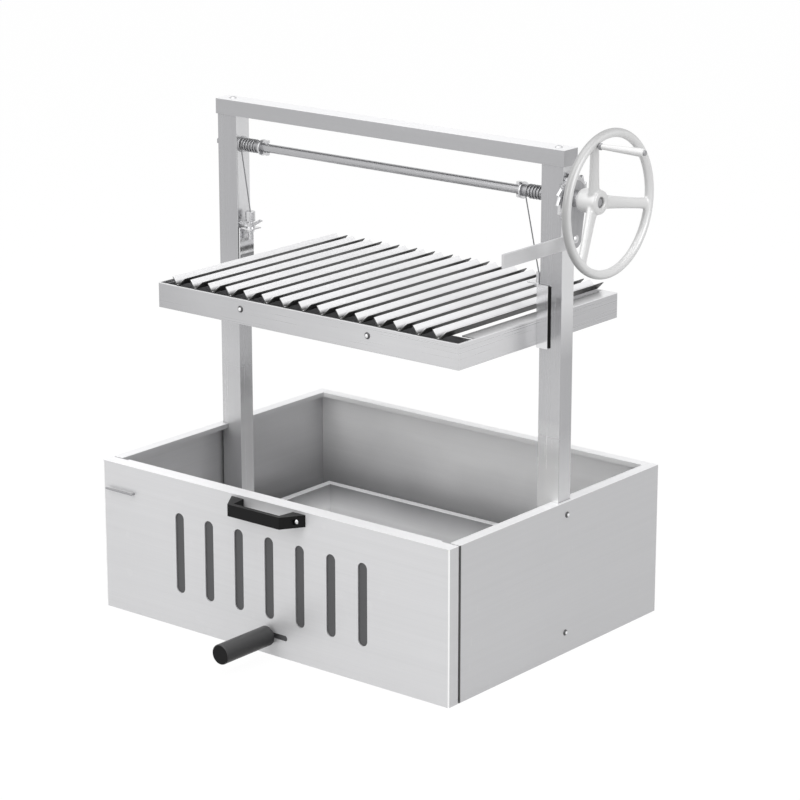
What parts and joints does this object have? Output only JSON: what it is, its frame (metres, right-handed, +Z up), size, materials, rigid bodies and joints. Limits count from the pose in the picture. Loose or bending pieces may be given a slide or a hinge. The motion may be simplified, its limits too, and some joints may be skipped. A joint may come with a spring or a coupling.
{
  "type": "charcoal grill",
  "caption": "Charcoal grill insert: steel firebox with vented lift-off front, and a V-bar grate raised between two posts by a hand-wheel winch.",
  "frame": {"origin": "on the ground under the middle of the firebox", "axes": "+X towards the hand wheel, +Y towards the rear panel, +Z up"},
  "size_m": [0.8575, 0.649, 0.829],
  "materials": {
    "steel": "satin",
    "bright_steel": "bright satin",
    "zinc": "dull",
    "black_plastic": "matt"
  },
  "bodies": {
    "frame": {"left_panel": "steel", "right_panel": "steel", "rear_panel": "steel", "floor_plate": "steel", "left_post": "steel", "right_post": "steel", "post_bolts": "bright_steel", "post_spacers": "zinc", "top_beam": "steel", "post_plugs": "zinc", "beam_bolts": "bright_steel", "shaft_bushes": "zinc", "pivot_plate": "steel", "pawl_pivot_bolt": "bright_steel", "pivot_spacers": "zinc", "cable_run_left": "zinc", "cable_run_right": "zinc"},
    "front": {"front_panel": "steel", "bow_handle": "black_plastic", "handle_screws": "bright_steel", "damper_rails": "zinc", "panel_lug": "zinc"},
    "hook": {"hook_latch": "bright_steel"},
    "damper": {"damper_plate": "zinc", "damper_stud": "bright_steel", "damper_nut": "bright_steel", "damper_grip": "black_plastic"},
    "pan": {"ash_pan": "steel"},
    "winch": {"winch_shaft": "bright_steel", "cable_drums": "zinc", "drum_collars": "bright_steel", "cable_winding_left": "zinc", "cable_winding_right": "zinc", "anchor_bolts": "bright_steel", "ratchet_wheel": "zinc", "hand_wheel": "bright_steel", "wheel_bolt": "bright_steel", "shaft_end_bolt": "bright_steel", "crank_spindle": "bright_steel"},
    "crank": {"crank_grip": "bright_steel"},
    "pawl": {"pawl_lever": "steel"},
    "grate": {"grate_frame": "steel", "grate_bars": "bright_steel", "grease_gutter": "zinc", "gutter_ends": "zinc", "gutter_bolts": "bright_steel", "guide_bracket_left": "bright_steel", "guide_bracket_right": "bright_steel", "guide_rivets": "zinc", "cable_stop_right": "zinc", "levelling_screw": "bright_steel", "levelling_nut": "bright_steel", "wing_nut": "bright_steel", "cable_sleeve_left": "bright_steel"}
  },
  "joints": [
    {"name": "grate_lift", "type": "slide", "parent": "frame", "child": "grate", "axis": [0, 0, 1], "range_m": [-0.29894, 0.07972], "deforming": ["cable_run_left", "cable_run_right"]},
    {"name": "winch_spin", "type": "hinge", "parent": "frame", "child": "winch", "pos_m": [0, 0.023, 0.717], "axis": [1, 0, 0], "range_deg": [-451, 1689]},
    {"name": "crank_grip_spin", "type": "hinge", "parent": "winch", "child": "crank", "pos_m": [0.426, -0.01212, 0.80849], "axis": [1, 0, 0], "continuous": true},
    {"name": "pawl_release", "type": "hinge", "parent": "frame", "child": "pawl", "pos_m": [0.3495, 0.0255, 0.655], "axis": [1, 0, 0], "range_deg": [-5, 10]},
    {"name": "front_panel_lift", "type": "slide", "parent": "frame", "child": "front", "axis": [0, 0, 1], "range_m": [0, 0.25]},
    {"name": "damper_slide", "type": "slide", "parent": "front", "child": "damper", "axis": [1, 0, 0], "range_m": [0, 0.031]},
    {"name": "hook_swing", "type": "hinge", "parent": "front", "child": "hook", "pos_m": [-0.284, -0.2675, 0.202], "axis": [0, 1, 0], "range_deg": [-90, 90]},
    {"name": "ash_pan_lift", "type": "slide", "parent": "frame", "child": "pan", "axis": [0, 0, 1], "range_m": [0, 0.35]}
  ],
  "couplings": [
    {"joint": "winch_spin", "follows": "grate_lift", "rad_per_m": -98.522}
  ]
}
